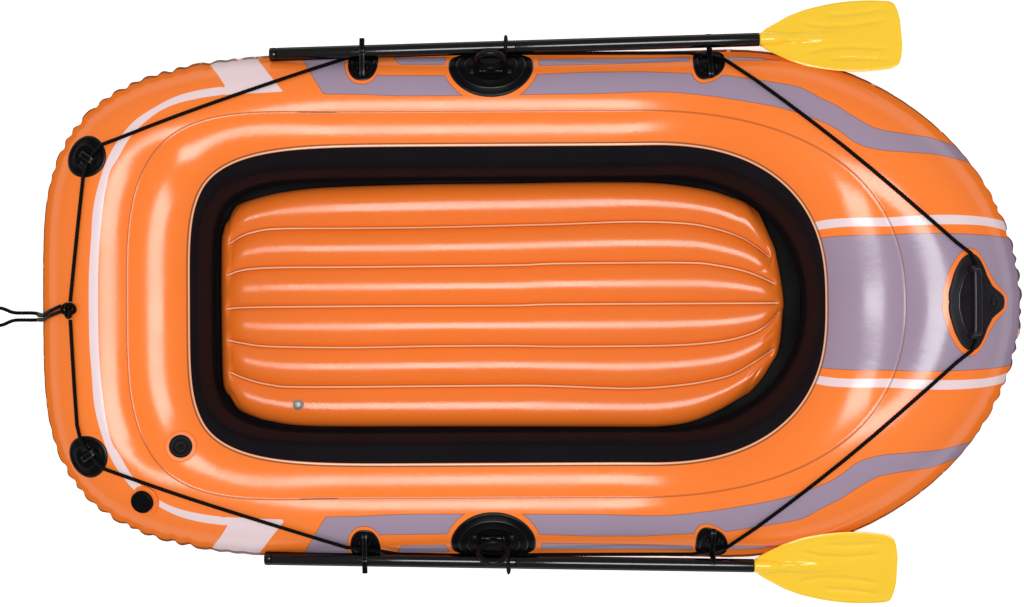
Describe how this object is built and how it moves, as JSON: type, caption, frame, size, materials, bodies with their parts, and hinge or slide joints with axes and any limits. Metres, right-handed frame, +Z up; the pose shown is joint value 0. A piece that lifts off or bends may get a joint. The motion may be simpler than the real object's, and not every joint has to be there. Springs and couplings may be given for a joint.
{
  "type": "inflatable raft",
  "caption": "Inflatable rowing raft: two welded air chambers round a cockpit, channelled floor, grab line and stowed oars.",
  "frame": {"origin": "on the ground under the middle of the hull, halfway between the bow and stern seams", "axes": "+X towards the bow, +Y to port, +Z up from the ground"},
  "size_m": [2.0193, 1.128, 0.3781],
  "materials": {
    "orange_pvc": "gloss film",
    "black_pvc": "satin film",
    "moulded_vinyl": "satin, moulded",
    "yellow_plastic": "gloss, moulded",
    "black_tube": "gloss tube",
    "clear_vinyl": "clear, moulded",
    "rope": "twisted yarn"
  },
  "bodies": {
    "hull": {"outer_chamber": "orange_pvc", "inner_chamber": "orange_pvc", "chamber_partition": "black_pvc", "bottom_sheet": "black_pvc", "floor_mattress": "orange_pvc", "outer_valve_body": "moulded_vinyl", "inner_valve_body": "moulded_vinyl", "floor_valve_body": "clear_vinyl", "rope_eyelet_port": "moulded_vinyl", "rope_eyelet_starboard": "moulded_vinyl", "oar_strap_aft_port": "moulded_vinyl", "oar_strap_fore_port": "moulded_vinyl", "oar_strap_aft_starboard": "moulded_vinyl", "oar_strap_fore_starboard": "moulded_vinyl", "oarlock_plate_port": "moulded_vinyl", "oarlock_plate_starboard": "moulded_vinyl", "bow_handle": "moulded_vinyl", "grab_line": "rope", "grab_line_knot": "rope", "tow_line": "rope"},
    "outer_valve_cap": {"outer_valve_cap": "moulded_vinyl"},
    "inner_valve_cap": {"inner_valve_cap": "moulded_vinyl"},
    "floor_valve_plug": {"floor_valve_plug": "clear_vinyl"},
    "oarlock_ring_port": {"oarlock_ring_port": "moulded_vinyl"},
    "oar_port": {"handle_shaft_port": "black_tube", "blade_shaft_port": "black_tube", "oar_blade_port": "yellow_plastic", "oar_end_cap_port": "black_tube"},
    "oar_stop_port": {"oar_stop_port": "moulded_vinyl"},
    "oarlock_ring_starboard": {"oarlock_ring_starboard": "moulded_vinyl"},
    "oar_starboard": {"handle_shaft_starboard": "black_tube", "blade_shaft_starboard": "black_tube", "oar_blade_starboard": "yellow_plastic", "oar_end_cap_starboard": "black_tube"},
    "oar_stop_starboard": {"oar_stop_starboard": "moulded_vinyl"}
  },
  "joints": [
    {"name": "outer_valve_cap_turn", "type": "hinge", "parent": "hull", "child": "outer_valve_cap", "pos_m": [-0.715, -0.3614, 0.23123], "axis": [-0.2284, -0.2648, 0.9369], "range_deg": [0, 540]},
    {"name": "inner_valve_cap_turn", "type": "hinge", "parent": "hull", "child": "inner_valve_cap", "pos_m": [-0.644, -0.2604, 0.23637], "axis": [0.1325, 0.1262, 0.9831], "range_deg": [0, 540]},
    {"name": "floor_valve_plug_pull", "type": "slide", "parent": "hull", "child": "floor_valve_plug", "axis": [0, 0, 1], "range_m": [0, 0.012]},
    {"name": "oarlock_ring_swing_port", "type": "hinge", "parent": "hull", "child": "oarlock_ring_port", "pos_m": [-0.066, 0.44095, 0.18449], "axis": [1, 0, 0], "range_deg": [-26, 80]},
    {"name": "oar_slide_port", "type": "slide", "parent": "hull", "child": "oar_port", "axis": [0.9987, 0.019, 0.0464], "range_m": [0, 0.15]},
    {"name": "oar_stop_slide_port", "type": "slide", "parent": "oar_port", "child": "oar_stop_port", "axis": [0.9987, 0.019, 0.0464], "range_m": [0, 0.12]},
    {"name": "oarlock_ring_swing_starboard", "type": "hinge", "parent": "hull", "child": "oarlock_ring_starboard", "pos_m": [-0.066, -0.44095, 0.18449], "axis": [-1, 0, 0], "range_deg": [-17, 94]},
    {"name": "oar_slide_starboard", "type": "slide", "parent": "hull", "child": "oar_starboard", "axis": [0.9976, -0.0102, 0.0691], "range_m": [0, 0.15]},
    {"name": "oar_stop_slide_starboard", "type": "slide", "parent": "oar_starboard", "child": "oar_stop_starboard", "axis": [0.9976, -0.0102, 0.0691], "range_m": [0, 0.12]}
  ]
}
